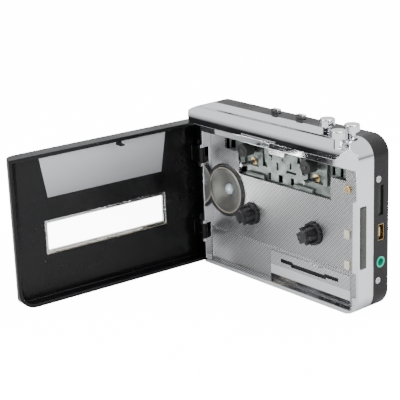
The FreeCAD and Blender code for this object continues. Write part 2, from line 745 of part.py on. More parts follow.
def deck_slots():
    """Punched openings of the deck plate that show past the sliding bridge."""
    low, high = "capstan_level - 7", "capstan_level - 3.4"
    shoulder = ("capstan_level + 3.8", "capstan_level + 8")
    return ((("well_shift - 4.2", "well_shift - 1.4"), (low, high)),
            (("well_shift + 4", "well_shift + 6.2"), (low, high)),
            (("well_shift - 31", "well_shift - 26"), (low, high)),
            (("well_shift - 11", "well_shift - 9.4"), (low, high)),
            (("well_shift + 31.2", "well_shift + 33"), shoulder),
            (("well_shift + 36.4", "well_shift + 38.2"), shoulder),
            (("well_shift - 38", "well_shift - 34.5"), shoulder))


def deck_plate():
    """Galvanised deck plate behind the floor, which carries the whole tape drive."""
    plate = box("plate_sheet", ("well_shift - 39", "well_right - 1.6"), ("plate_front", "plate_back"),
                ("plate_low", "plate_top"))
    beads = [rod("plate_bead_%d" % i, "x", "1.2", (x, "plate_front - 0.9", "capstan_level - 6.25"), "12.5")
             for i, x in enumerate(("well_shift - 24.8", "well_shift + 7.7"))]
    guides = [rod("bridge_guide_%d" % i, "y", "1", (x, "bridge_front - 0.4", "capstan_level + 4.6"),
                  "plate_gap + 1.4")
              for i, x in enumerate(("well_shift - 8", "well_shift + 11"))]
    posts = [rod("motor_foot_%d" % i, "y", "1.5", (x, "plate_back - 0.5", "motor_level - 6"),
                 "motor_front - plate_back + 0.5") for i,
             x in enumerate(("well_shift - 7", "well_shift + 7"))]
    pin = rod("idler_pin", "y", "axle_radius - 0.6", ("reel_right", "plate_back - 0.5", "idler_level"),
              "gear_thick + free_gap + 0.9")
    body = fuse("plate_body", plate, *(beads + guides + posts + [pin]))
    speaker = rod("plate_speaker_hole", "y", "speaker_radius + 0.6",
                  ("speaker_x", "plate_front - 1", "speaker_z"), "4")
    bushes = [rod("bush_hole_%d" % i, "y", "bush_radius + fit_gap", (x, "plate_front - 1", "capstan_level"),
                  "4")
              for i, x in enumerate(("reel_left", "reel_right"))]
    reels = [rod("axle_hole_%d" % i, "y", "spindle_hub_radius - 0.9 + run_gap",
                 (x, "plate_front - 2", "reel_level"), "5")
             for i, x in enumerate(("reel_left", "reel_right"))]
    screws = [rod("plate_bore_%d" % i, "y", "screw_radius + run_gap", (x, "plate_front - 1", z), "4")
              for i, (x, z) in enumerate(deck_screw_places() + floor_screw_places())]
    slots = [box("plate_slot_%d" % i, x, ("plate_front - 0.5", "plate_back + 0.5"), z)
             for i, (x, z) in enumerate(deck_slots())]
    return node("mechanism_plate", cut("plate", body, speaker, *(bushes + reels + screws + slots)))


def capstan_bushes():
    pieces = [cut("bush_%d" % i,
                  rod("bush_body_%d" % i, "y", "bush_radius", (x, "plate_front - 0.3", "capstan_level"),
                      "plate_thick + 0.5"),
                  rod("bush_bore_%d" % i, "y", "capstan_radius + run_gap",
                      (x, "plate_front - 1", "capstan_level"), "4"))
              for i, x in enumerate(("reel_left", "reel_right"))]
    return node("capstan_bushes", fuse("bushes", *pieces))


def flywheel(label, x, extra):
    wheel = rod(label + "_disc", "y", "flywheel_radius", (x, "wheel_front", "capstan_level"),
                "flywheel_thick")
    groove = cut(label + "_groove", rod(label + "_groove_out", "y", "flywheel_radius + 1",
                 (x, "belt_front - 0.1", "capstan_level"), "belt_width + 0.2"),
                 rod(label + "_groove_in", "y", "flywheel_radius - belt_thick / 2",
                     (x, "belt_front - 0.2", "capstan_level"), "belt_width + 0.4"))
    shaft = rod(label + "_shaft", "y", "capstan_radius", (x, "rim - 1.2", "capstan_level"),
                "bracket_front + 0.9 - rim + 1.2")
    return node(label, fuse(label + "_whole", cut(label + "_rim", wheel, groove), shaft, *extra))


def gear_teeth(name, x, level, count, phase, low, thick):
    """A spur gear disc with straight-sided teeth; phase is the angle of one tooth's middle."""
    teeth = int(number(count))
    pitch = number("gear_module") * teeth / 2
    tip, root = pitch + 0.4, pitch - 0.55
    points = []
    for i in range(teeth):
        base = phase + 2 * math.pi * i / teeth
        half = math.pi / teeth
        for radius, share in ((root, -0.62), (tip, -0.24), (tip, 0.24), (root, 0.62)):
            angle = base + share * half
            points.append(Vector(x + radius * math.cos(angle), low, level + radius * math.sin(angle)))
    return profile_solid(name, points, Y * thick)


def gear_train():
    """Pinion on the right flywheel, idler and take-up gear, in mesh one above the other."""
    low, thick = number("gear_front"), number("gear_thick")
    x, half_turn = number("reel_right"), math.pi / 2
    pinion = gear_teeth("pinion", x, number("capstan_level"), "pinion_teeth", -half_turn, low,
                        thick + number("free_gap") + 0.2)
    idler = gear_teeth("idler_disc", x, number("idler_level"), "idler_teeth",
                       half_turn + math.pi / number("idler_teeth"), low, thick)
    take_up = gear_teeth("take_up_disc", x, number("reel_level"), "take_up_teeth", half_turn, low, thick)
    pin = rod("idler_bore", "y", "axle_radius - 0.6 + run_gap",
              ("reel_right", "gear_front - 1", "idler_level"), "4")
    node("idler_gear", cut("idler", idler, pin))
    node("take_up_gear", cut("take_up", take_up, rod("take_up_bore", "y", "axle_radius + fit_gap",
                                                     ("reel_right", "gear_front - 1", "reel_level"), "4")))
    return pinion


def bracket():
    """Strap that holds the rear ends of both capstan shafts, on a central post."""
    strap = box("strap", ("reel_left - 5", "reel_right + 5"), ("bracket_front", "bracket_front + 0.8"),
                ("capstan_level - 3.5", "capstan_level + 3.5"))
    post = rod("strap_post", "y", "2", ("well_shift", "plate_back", "capstan_level"),
               "bracket_front - plate_back + 0.5")
    bores = [rod("strap_bore_%d" % i, "y", "capstan_radius + run_gap",
                 (x, "bracket_front - 1", "capstan_level"), "3")
             for i, x in enumerate(("reel_left", "reel_right"))]
    return node("flywheel_bracket", cut("strap_whole", fuse("strap_body", strap, post), *bores))


def belt_loop(grow):
    """Outline round the motor pulley and both flywheels, drawn grow outside their belt seats."""
    seat = number("flywheel_radius") - number("belt_thick") / 2 + 0.1
    y = number("belt_front")
    circles = [(number("well_shift"), number("motor_level"), number("pulley_radius") + grow),
               (number("reel_right"), number("capstan_level"), seat + grow),
               (number("reel_left"), number("capstan_level"), seat + grow)]
    touch = []
    for (x1, z1, r1), (x2, z2, r2) in zip(circles, circles[1:] + circles[:1]):
        span = math.hypot(x2 - x1, z2 - z1)
        normal = math.atan2(z2 - z1, x2 - x1) - math.acos((r1 - r2) / span)
        away = Vector(math.cos(normal), 0, math.sin(normal))
        touch.append((Vector(x1, y, z1) + away * r1, Vector(x2, y, z2) + away * r2))
    edges = []
    for i, (leave, arrive) in enumerate(touch):
        x, z, radius = circles[(i + 1) % 3]
        edges.append(Part.LineSegment(leave, arrive).toShape())
        following = touch[(i + 1) % 3][0]
        centre = Vector(x, y, z)
        bulge = (arrive - centre) + (following - centre)
        if bulge.Length < 1e-6 or (arrive - centre).cross(following - centre).y > 0:
            bulge = bulge * -1
        edges.append(Part.Arc(arrive, centre + bulge.normalize() * radius, following).toShape())
    return Part.Face(Part.Wire(edges))


def drive_belt():
    piece = doc.addObject("Part::Feature", "belt")
    thick = number("belt_thick")
    outer = belt_loop(thick).extrude(Y * number("belt_width"))
    inner = belt_loop(0.0).extrude(Y * number("belt_width"))
    piece.Shape = outer.cut(inner)
    return node("drive_belt", piece)


def motor():
    can = rod("motor_can", "y", "motor_radius", ("well_shift", "motor_front", "motor_level"), "motor_length")
    bore = rod("motor_bore", "y", "0.75 + run_gap", ("well_shift", "motor_front - 1", "motor_level"),
               "motor_length")
    node("motor", cut("motor_body", can, bore))
    pulley = rod("pulley_disc", "y", "pulley_radius - 0.1",
                 ("well_shift", "belt_front - 0.1", "motor_level"), "belt_width + 0.2")
    rims = [rod("pulley_rim_%d" % i, "y", "pulley_radius + 0.5", ("well_shift", start, "motor_level"), "0.35")
            for i, start in enumerate(("belt_front - 0.45", "belt_front + belt_width + 0.1"))]
    shaft = rod("motor_shaft", "y", "0.75", ("well_shift", "belt_front - 0.45", "motor_level"),
                "motor_front + 4 - belt_front")
    node("motor_pulley", fuse("pulley", pulley, shaft, *rims))


def spindle(label, x):
    """Reel spindle: a serrated foot, a hub with six splines and a stub through the plate."""
    base = rod(label + "_base", "y", "spindle_base_radius - 0.4", (x, "floor_front - 2.2", "reel_level"),
               "2.8")
    hub = taper(label + "_hub", "y", "spindle_hub_radius - 0.5", "spindle_hub_radius",
                (x, "floor_front - spindle_reach", "reel_level"), "spindle_reach - 2")
    sleeve = rod(label + "_sleeve", "y", "spindle_hub_radius - 0.9", (x, "floor_front - 2", "reel_level"),
                 "gear_front - floor_front + 2")
    stub = rod(label + "_stub", "y", "axle_radius", (x, "floor_front - 2", "reel_level"),
               "gear_back + 0.2 - floor_front + 2")
    centre = Vector(number(x), 0, number("reel_level"))
    spline_shape = []
    for i in range(6):
        fin = Part.makeBox(number("spindle_hub_radius") + number("spindle_spline"),
                           number("spindle_reach") - 3.2, 1.2,
                           Vector(0, number("floor_front") - number("spindle_reach") + 1.0, -0.6))
        fin.rotate(Vector(), Y, 60 * i)
        fin.translate(centre)
        spline_shape.append(fin)
    teeth = []
    for i in range(16):
        tooth = Part.makeBox(number("spindle_base_radius"), 2.8, 1.0,
                             Vector(0, number("floor_front") - 2.2, -0.5))
        tooth.rotate(Vector(), Y, 22.5 * i)
        tooth.translate(centre)
        teeth.append(tooth)
    fins = doc.addObject("Part::Feature", label + "_fins")
    fins.Shape = spline_shape[0].multiFuse(spline_shape[1:] + teeth)
    return node(label, fuse(label + "_whole", base, hub, sleeve, stub, fins))


def supply_clip():
    ring = rod("clip_disc", "y", "3.4", ("reel_left", "gear_front", "reel_level"), "0.8")
    bore = rod("clip_bore", "y", "axle_radius + fit_gap", ("reel_left", "gear_front - 1", "reel_level"), "3")
    return node("supply_clip", cut("clip", ring, bore))


def bridge_marks():
    """Punched openings of the sliding bridge between the two rollers."""
    return ((("well_shift - 4", "well_shift - 2.9"), ("capstan_level - 0.8", "capstan_level + 3")),
            (("well_shift + 2.6", "well_shift + 9"), ("capstan_level - 0.6", "capstan_level + 0.4")),
            (("well_shift - 13.6", "well_shift - 10.2"), ("capstan_level - 0.4", "capstan_level + 1.8")),
            (("well_shift - 13.6", "well_shift - 12.2"), ("capstan_level + 1.7", "capstan_level + 6")),
            (("well_shift + 13.2", "well_shift + 15"), ("capstan_level + 0.4", "capstan_level + 3.4")),
            (("well_shift + 5", "well_shift + 6.2"), ("capstan_level + 1.6", "capstan_level + 4.4")))


def head_bridge():
    """Sliding plate that carries the tape head and the pinch rollers down to the tape."""
    sheet_body = box("bridge_sheet", ("reel_left - 8", "reel_right + 8"), ("bridge_front", "bridge_back"),
                     ("bridge_low", "hood_base - 5.2"))
    windows = [box("bridge_window_%d" % i, x, ("bridge_front - 1", "bridge_back + 1"),
                   ("capstan_level - 1.6", "roller_level + roller_radius - 1.2"))
               for i, x in enumerate((("reel_left - 5.2", "reel_left + 4.6"),
                                      ("reel_right - 4.6", "reel_right + 5.2")))]
    slots = [box("bridge_slot_%d" % i, (x + " - 1.05", x + " + 1.05"),
                 ("bridge_front - 1", "bridge_back + 1"),
                 ("capstan_level + 3.5", "capstan_level + 4.6 + 1.1 + head_travel"))
             for i, x in enumerate(("well_shift - 8", "well_shift + 11"))]
    marks = [box("bridge_mark_%d" % i, x, ("bridge_front - 1", "bridge_back + 1"), z)
             for i, (x, z) in enumerate(bridge_marks())]
    marks.append(rod("bridge_dimple", "y", "0.6", ("well_shift", "bridge_front - 1", "capstan_level + 5"),
                     "3"))
    node("head_bridge", cut("bridge", sheet_body, *(windows + slots + marks)))
    head = box("head_block", ("well_shift - 5.5", "well_shift + 5.5"), ("rim + 2.0", "bridge_front"),
               ("hood_base - 8.6", "hood_base - 4.6"))
    node("tape_head", rounded("head_soft", head, 1.2,
                              lambda e: runs_along(e, Y) and middle(e).z < number("hood_base") - 6))


def pinch_set(side, x, arm_side):
    """One rubber pinch roller with its arm and axle."""
    axle = rod("pinch_axle_" + side, "y", "0.8", (x, "bridge_front - roller_length - 1.2", "roller_level"),
               "roller_length + 1.2")
    near, far = ("%s - 0.9" % x, "%s + 8.5" % x) if arm_side > 0 else ("%s - 8.5" % x, "%s + 0.9" % x)
    arm = box("pinch_plate_" + side, (near, far), ("bridge_front - 0.5", "bridge_front"),
              ("roller_level - 0.9", "roller_level + 1.7"))
    roller = cut("pinch_body_" + side,
                 rod("pinch_out_" + side, "y", "roller_radius",
                     (x, "bridge_front - roller_length - 0.8", "roller_level"), "roller_length"),
                 rod("pinch_in_" + side, "y", "0.8 + run_gap",
                     (x, "bridge_front - roller_length - 2", "roller_level"), "roller_length + 4"))
    node("pinch_roller_" + side, roller)
    return fuse("pinch_arm_" + side, axle, arm)


# ---------------------------------------------------------------- speaker

def speaker():
    rise = "speaker_front"
    ring = rod("speaker_ring", "y", "speaker_radius", ("speaker_x", rise, "speaker_z"), "1.6")
    basket = taper("speaker_basket_out", "y", "speaker_radius - 0.8", "magnet_radius",
                   ("speaker_x", rise + " + 1.6", "speaker_z"), "speaker_basket - 1.6")
    mouth = taper("speaker_basket_in", "y", "speaker_radius - 1.4", "magnet_radius - 1.2",
                  ("speaker_x", rise + " - 0.01", "speaker_z"), "speaker_basket - 1")
    node("speaker_frame", cut("speaker_steel", fuse("speaker_shell", ring, basket), mouth))
    gap = "0.15"
    cone_out = taper("cone_out", "y", "speaker_radius - 1.9 - " + gap, "3.6",
                     ("speaker_x", rise + " + 0.3", "speaker_z"), "speaker_basket - 2.6")
    cone_in = taper("cone_in", "y", "speaker_radius - 2.7 - " + gap, "2.8",
                    ("speaker_x", rise + " + 0.29", "speaker_z"), "speaker_basket - 3.1")
    dome = doc.addObject("Part::Sphere", "dust_cap_ball")
    dome.setExpression("Radius", "3.9")
    place(dome, "z", ("speaker_x", "speaker_front + speaker_basket - 0.2", "speaker_z"))
    dome_cut = common("dust_cap", dome, box("dust_cap_zone", ("speaker_x - 4", "speaker_x + 4"),
                      (rise, rise + " + speaker_basket - 2.4"), ("speaker_z - 4", "speaker_z + 4")))
    node("speaker_cone", fuse("cone_whole", cut("cone_skin", cone_out, cone_in), dome_cut))
    node("speaker_magnet", rod("magnet", "y", "magnet_radius",
                               ("speaker_x", rise + " + speaker_basket", "speaker_z"),
                               "magnet_length"))


# ---------------------------------------------------------------- electronics

def electronics():
    right = "board_right"
    board = box("board_sheet", (right + " - board_width", right), ("board_face", "board_face + board_thick"),
                ("board_low", "board_low + board_height"))
    node("circuit_board", board)
    usb_low, usb_high = "usb_level - usb_height / 2", "usb_level + usb_height / 2"
    usb = box("usb_can", ("half_width - 0.3 - usb_length", "half_width - 0.3"),
              ("board_face - usb_thick", "board_face"),
              (usb_low, usb_high))
    mouth = box("usb_mouth", ("half_width - 7", "half_width"),
                ("board_face - usb_thick + 0.25", "board_face - 0.25"),
                (usb_low + " + 0.25", usb_high + " - 0.25"))
    tongue = box("usb_tongue", ("half_width - 7.2", "half_width - 1.2"),
                 ("board_face - usb_thick / 2 - 0.3", "board_face - usb_thick / 2 + 0.5"),
                 (usb_low + " + 1.6", usb_high + " - 1.6"))
    node("usb_socket", fuse("usb", cut("usb_shell", usb, mouth), tongue))
    card = box("card_can", ("inner_side - 15", "inner_side - 0.1"), ("port_line - 0.9", "board_face"),
               ("card_level - card_slot / 2 - 0.6", "card_level + card_slot / 2 + 0.6"))
    card_mouth = box("card_mouth", ("inner_side - 13.5", "inner_side + 1"),
                     ("port_line - 0.5", "port_line + 0.5"),
                     ("card_level - card_slot / 2 + 1", "card_level + card_slot / 2 - 1"))
    node("card_socket", cut("card_shell", card, card_mouth))
    body = box("jack_block", ("inner_side - jack_length + 1", "inner_side - 0.1"),
               ("port_line - 2.4", "board_face"),
               ("jack_level - 3", "jack_level + 3"))
    collar = rod("jack_collar", "x", "jack_radius", ("inner_side - 0.3", "port_line", "jack_level"),
                 "casing_wall + 0.5")
    bore = rod("jack_bore_hole", "x", "jack_bore",
               ("inner_side + casing_wall + 0.2 - jack_length", "port_line", "jack_level"), "jack_length + 1")
    node("headphone_jack", cut("jack", fuse("jack_body", body, collar), bore))


# ---------------------------------------------------------------- controls

def key(label, x, y, gap, stem_low, collar_low):
    """Push key: a round cap on a stem, with a collar under the hood's top wall where there is room."""
    low = "body_height + " + gap
    cap = rod(label + "_cap", "z", "key_radius", (x, y, low), "key_cap")
    cap = rounded(label + "_soft", cap, 0.6, lambda e: e.BoundBox.ZMin > number("body_height") + 4.0
                  and e.BoundBox.ZLength < 1e-6)
    stem = rod(label + "_stem", "z", "key_stem", (x, y, stem_low), "%s - (%s) + 1" % (low, stem_low))
    parts = [cap, stem]
    if collar_low:
        parts.append(rod(label + "_collar", "z", "key_stem + 0.8", (x, y, collar_low), "0.8"))
    return node(label, fuse(label + "_whole", *parts))


def controls():
    low = "hood_base + hood_wall + 0.15 + key_travel"
    collar = "body_height - hood_wall - 1.1"
    key("stop_button", "stop_key_x", "back_keys_y", "key_gap", low, collar)
    key("forward_button", "forward_key_x", "back_keys_y", "key_gap", low, collar)
    key("play_button", "play_key_x", "play_key_y", "play_key_gap", low, "")
    for label, (x, y) in zip(("direction_switch", "mode_switch"), switch_places()):
        knob = box(label + "_knob", (x + " - switch_knob / 2", x + " + switch_knob / 2"),
                   (y + " - switch_depth / 2", y + " + switch_depth / 2"),
                   ("body_height + 0.15", "body_height + switch_rise"))
        knob = rounded(label + "_soft", knob, 0.5, lambda e: e.BoundBox.ZMin > number("body_height") + 1)
        stem = box(label + "_stem", (x + " - 1.2", x + " + 1.2"), (y + " - 0.7", y + " + 0.7"),
                   ("body_height - casing_wall - 1", "body_height + 1"))
        slide = box(label + "_slide", (x + " - 3", x + " + 3"), (y + " - 1.8", y + " + 1.8"),
                    ("body_height - casing_wall - 1.4", "body_height - casing_wall - 0.2"))
        node(label, fuse(label + "_whole", knob, stem, slide))
    volume()


def volume():
    """Knurled roller with an upright axle, let into the right rail."""
    start, length = "volume_level - volume_length / 2", "volume_length"
    drum = rod("volume_drum", "z", "volume_radius - 0.15", ("volume_x", "volume_y", start), length)
    ribs = []
    for i in range(24):
        rib = Part.makeBox(number("volume_radius"), 0.24, number("volume_length") - 0.6,
                           Vector(0, -0.12, number("volume_level") - number("volume_length") / 2 + 0.3))
        rib.rotate(Vector(), Z, 15 * i)
        rib.translate(Vector(number("volume_x"), number("volume_y"), 0))
        ribs.append(rib)
    knurl = doc.addObject("Part::Feature", "volume_knurl")
    knurl.Shape = ribs[0].multiFuse(ribs[1:])
    axle = rod("volume_axle", "z", "0.6", ("volume_x", "volume_y", start + " - 1"), length + " + 2")
    return node("volume_roller", fuse("volume", drum, knurl, axle))


def build():
    fill_sheet()
    rear_shell()
    front_frame()
    well_floor()
    floor_screws()
    well_pads()
    side_screws()
    battery_hatch()
    batteries()
    battery_contacts()
    door()
    deck_plate()
    capstan_bushes()
    pinion = gear_train()
    flywheel("flywheel_left", "reel_left", [])
    flywheel("flywheel_right", "reel_right", [pinion])
    bracket()
    drive_belt()
    motor()
    spindle("supply_spindle", "reel_left")
    spindle("take_up_spindle", "reel_right")
    supply_clip()
    head_bridge()
    node("pinch_arms", fuse("pinch_arm_pair", pinch_set("left", "reel_left", 1),
                            pinch_set("right", "reel_right", -1)))
    speaker()
    electronics()
    controls()
    doc.recompute()


def check_and_write():
    for item in doc.Objects:
        bad = [word for word in item.State if word in ("Invalid", "Error")]
        if bad:
            raise RuntimeError("%s (%s) is %s" % (item.Name, item.Label, bad))
    os.makedirs("parts", exist_ok=True)
    for label, piece in nodes.items():
        shape = piece.Shape
        if shape.isNull() or not shape.isValid() or shape.Volume <= 0:
            raise RuntimeError("%s has no valid solid" % label)
        shape.exportStep("parts/%s.step" % label)
        print("%-20s %10.1f mm3  %d solid(s)" % (label, shape.Volume, len(shape.Solids)))


build()
check_and_write()
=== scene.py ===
"""Looks of the portable cassette player: materials, added detail, studio and camera.

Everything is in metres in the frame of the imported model: the face holding the keys is up,
the well faces -Y and the base rests on the floor.
"""
import json
from math import cos, pi, radians, sin

import bmesh
import bpy
from mathutils import Matrix, Vector

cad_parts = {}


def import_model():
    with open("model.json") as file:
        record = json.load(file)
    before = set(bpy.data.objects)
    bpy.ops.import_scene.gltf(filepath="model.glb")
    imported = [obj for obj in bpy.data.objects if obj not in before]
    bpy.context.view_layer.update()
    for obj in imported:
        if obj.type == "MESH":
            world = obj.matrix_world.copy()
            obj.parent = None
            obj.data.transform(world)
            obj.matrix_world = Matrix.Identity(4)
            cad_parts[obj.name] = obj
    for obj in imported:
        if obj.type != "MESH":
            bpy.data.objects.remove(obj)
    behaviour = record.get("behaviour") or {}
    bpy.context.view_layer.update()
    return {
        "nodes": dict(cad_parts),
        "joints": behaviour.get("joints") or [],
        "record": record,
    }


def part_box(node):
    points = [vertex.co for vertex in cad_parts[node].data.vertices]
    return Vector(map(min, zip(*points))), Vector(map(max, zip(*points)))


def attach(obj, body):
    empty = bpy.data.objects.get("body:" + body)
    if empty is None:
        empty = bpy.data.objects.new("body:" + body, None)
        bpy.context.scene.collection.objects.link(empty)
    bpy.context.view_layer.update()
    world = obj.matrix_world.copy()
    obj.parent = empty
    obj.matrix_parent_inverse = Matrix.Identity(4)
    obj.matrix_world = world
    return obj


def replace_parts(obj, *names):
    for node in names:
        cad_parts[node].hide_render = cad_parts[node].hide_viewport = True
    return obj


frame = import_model()

MM = 0.001
WEAVE = 1.25    # pitch of the floor's pressed weave, in millimetres


# ---------------------------------------------------------------- material helpers

def add(tree, kind, **inputs):
    """A shader node with its inputs set to values or linked from other sockets."""
    node = tree.nodes.new(kind)
    for name, value in inputs.items():
        socket = node.inputs[name.replace("_", " ")]
        if isinstance(value, bpy.types.NodeSocket):
            tree.links.new(value, socket)
        else:
            socket.default_value = value
    return node


def math(tree, operation, first, second=0.0):
    """The output of a sum, product or comparison of two values or sockets."""
    node = tree.nodes.new("ShaderNodeMath")
    node.operation = operation
    for socket, value in zip(node.inputs, (first, second)):
        if isinstance(value, bpy.types.NodeSocket):
            tree.links.new(value, socket)
        else:
            socket.default_value = value
    return node.outputs[0]


def surface(name, colour, metallic, roughness, edge=0.3):
    """A principled material whose edges look rounded by a radius in millimetres."""
    material = bpy.data.materials.new(name)
    material.use_nodes = True
    tree = material.node_tree
    shader = tree.nodes["Principled BSDF"]
    shader.inputs["Base Color"].default_value = (*colour, 1)
    shader.inputs["Metallic"].default_value = metallic
    shader.inputs["Roughness"].default_value = roughness
    soft = add(tree, "ShaderNodeBevel", Radius=edge * MM)
    soft.samples = 6
    tree.links.new(soft.outputs[0], shader.inputs["Normal"])
    return material


def shader_of(material):
    """The material's principled shader."""
    return material.node_tree.nodes["Principled BSDF"]


def millimetres(tree, stretch=(1, 1, 1)):
    """The place on the object in millimetres, stretched along its axes."""
    place = tree.nodes.new("ShaderNodeTexCoord").outputs["Object"]
    scale = [1000 / s for s in stretch]
    return add(tree, "ShaderNodeMapping", Vector=place, Scale=scale).outputs[0]


def speckle(tree, size, stretch=(1, 1, 1), detail=3.0):
    """Soft noise whose blotches are about size millimetres wide."""
    return add(tree, "ShaderNodeTexNoise", Vector=millimetres(tree, stretch), Scale=1 / size,
               Detail=detail).outputs[0]


def grains(tree, size):
    """Crystal-like cells about size millimetres wide, each with its own level."""
    cells = add(tree, "ShaderNodeTexVoronoi", Vector=millimetres(tree), Scale=1 / size)
    return add(tree, "ShaderNodeSeparateColor", Color=cells.outputs["Color"]).outputs[0]


def spread(tree, factor, low, high):
    """factor, mostly between 0.3 and 0.7 for noise, stretched to run from low to high."""
    ranged = add(tree, "ShaderNodeMapRange", Value=factor, From_Min=0.3, From_Max=0.7,
                 To_Min=low, To_Max=high)
    return ranged.outputs[0]


def vary_colour(material, factor, dark, light):
    """Mixes the base colour from dark, where factor is 0, to light, where it is 1."""
    tree = material.node_tree
    mix = add(tree, "ShaderNodeMix")
    mix.data_type = "RGBA"
    tree.links.new(factor, mix.inputs[0])
    mix.inputs[6].default_value = (*dark, 1)
    mix.inputs[7].default_value = (*light, 1)
    tree.links.new(mix.outputs[2], shader_of(material).inputs["Base Color"])


def vary_roughness(material, factor, low, high):
    """Lets noise carry the roughness from low to high."""
    tree = material.node_tree
    tree.links.new(spread(tree, factor, low, high), shader_of(material).inputs["Roughness"])


def relief(material, height, depth):
    """Bumps depth millimetres high on top of whatever shapes the normal already."""
    tree = material.node_tree
    normal = shader_of(material).inputs["Normal"]
    bump = add(tree, "ShaderNodeBump", Height=height, Distance=depth * MM, Strength=1.0,
               Normal=normal.links[0].from_socket)
    tree.links.new(bump.outputs[0], normal)


def rubbed_edges(tree, radius):
    """1 along edges that hands and table tops rub, 0 on faces."""
    bevel = add(tree, "ShaderNodeBevel", Radius=radius * MM)
    flat = tree.nodes.new("ShaderNodeNewGeometry").outputs["True Normal"]
    facing = tree.nodes.new("ShaderNodeVectorMath")
    facing.operation = "DOT_PRODUCT"
    tree.links.new(bevel.outputs[0], facing.inputs[0])
    tree.links.new(flat, facing.inputs[1])
    sharp = math(tree, "SUBTRACT", 1.0, facing.outputs["Value"])
    patchy = speckle(tree, 2.5)
    return math(tree, "MINIMUM", math(tree, "MULTIPLY", math(tree, "MULTIPLY", sharp, 6.0), patchy), 1.0)


# ---------------------------------------------------------------- materials, one function each

def chrome():
    """Plated plastic: bright, faintly wavy, with smudges and hairline rubs."""
    material = surface("chrome", (0.80, 0.81, 0.83), 1.0, 0.06, edge=0.45)
    tree = material.node_tree
    vary_roughness(material, speckle(tree, 14), 0.03, 0.10)
    vary_colour(material, speckle(tree, 22), (0.74, 0.755, 0.78), (0.85, 0.86, 0.87))
    relief(material, speckle(tree, 9, detail=1.0), 0.05)
    relief(material, speckle(tree, 0.35, stretch=(12, 12, 1)), 0.002)
    return material


def knurled_chrome():
    """The well's floor: plated, with a fine diagonal woven pattern pressed in, and painted shade that
    colours its valleys near black.
    """
    material = surface("knurled_chrome", (0.70, 0.71, 0.73), 1.0, 0.14, edge=0.25)
    tree = material.node_tree
    vary_roughness(material, speckle(tree, 8), 0.34, 0.44)
    weave_and_valley_shade = dashes(tree, WEAVE)
    # painted shade: the woven pattern's valleys are coloured near black, its ridges near-white plating
    vary_colour(material, weave_and_valley_shade, (0.02, 0.02, 0.022), (0.96, 0.96, 0.97))
    relief(material, weave_and_valley_shade, 0.08)
    return material


def cover_chrome():
    """The battery cover: the floor's woven pattern above, its valleys darkened by painted shade, polished
    plating below.
    """
    woven_from = 9.4
    material = surface("cover_chrome", (0.78, 0.79, 0.81), 1.0, 0.08, edge=0.25)
    tree = material.node_tree
    vary_roughness(material, speckle(tree, 8), 0.05, 0.14)
    height = add(tree, "ShaderNodeSeparateXYZ", Vector=millimetres(tree)).outputs[2]
    woven = math(tree, "GREATER_THAN", height, woven_from)
    weave_and_valley_shade = math(tree, "MAXIMUM", dashes(tree, WEAVE), math(tree, "SUBTRACT", 1.0, woven))
    # painted shade: above woven_from the woven pattern's valleys are coloured dark grey, below it stays
    # plain plating
    vary_colour(material, weave_and_valley_shade, (0.16, 0.163, 0.17), (0.90, 0.905, 0.92))
    relief(material, weave_and_valley_shade, 0.06)
    return material


def dashes(tree, pitch):
    """Rows of short raised dashes that lean down to the right, pitch millimetres apart."""
    place = add(tree, "ShaderNodeSeparateXYZ", Vector=millimetres(tree))
    x, z = place.outputs[0], place.outputs[2]
    across = math(tree, "PINGPONG", math(tree, "ADD", math(tree, "MULTIPLY", x, 0.8), z), pitch / 2)
    along = math(tree, "PINGPONG", math(tree, "SUBTRACT", x, z), pitch)
    dash = math(tree, "MINIMUM", math(tree, "MULTIPLY", across, 2 / pitch),
                math(tree, "MULTIPLY", along, 7.0 / pitch))
    return math(tree, "MINIMUM", dash, 1.0)


def black_shell():
    """Satin moulded plastic with a spark-eroded grain and slightly polished edges."""
    material = surface("black_shell", (0.010, 0.009, 0.009), 0.0, 0.42, edge=0.5)
    tree = material.node_tree
    shader_of(material).inputs["Specular IOR Level"].default_value = 0.25
    vary_roughness(material, speckle(tree, 11), 0.34, 0.48)
    vary_colour(material, rubbed_edges(tree, 0.6), (0.010, 0.009, 0.009), (0.05, 0.05, 0.05))
    relief(material, speckle(tree, 0.28, detail=2.0), 0.012)
    return material


def door_black():
    """Polished black plastic with finger marks and a little moulding ripple."""
    material = surface("door_black", (0.004, 0.004, 0.0045), 0.0, 0.22, edge=0.5)
    tree = material.node_tree
    shader_of(material).inputs["Specular IOR Level"].default_value = 0.22
    vary_roughness(material, speckle(tree, 18), 0.14, 0.34)
    vary_colour(material, rubbed_edges(tree, 0.5), (0.004, 0.004, 0.0045), (0.03, 0.03, 0.032))
    relief(material, speckle(tree, 10, detail=1.0), 0.05)
    return material


def window_clear():
    """Clear acrylic, cream on its sawn edges where the thickness shows."""
    material = surface("window_clear", (0.94, 0.95, 0.95), 0.0, 0.03, edge=0.25)
    tree = material.node_tree
    shader = shader_of(material)
    shader.inputs["IOR"].default_value = 1.49
    normal = tree.nodes.new("ShaderNodeNewGeometry").outputs["True Normal"]
    facing = add(tree, "ShaderNodeSeparateXYZ", Vector=normal)
    edge = math(tree, "GREATER_THAN", math(tree, "ABSOLUTE", facing.outputs[2]), 0.6)
    vary_colour(material, edge, (0.94, 0.95, 0.95), (0.72, 0.60, 0.42))
    tree.links.new(math(tree, "SUBTRACT", 1.0, math(tree, "MULTIPLY", edge, 0.7)),
                   shader.inputs["Transmission Weight"])
    relief(material, speckle(tree, 16, detail=1.0), 0.02)
    return material


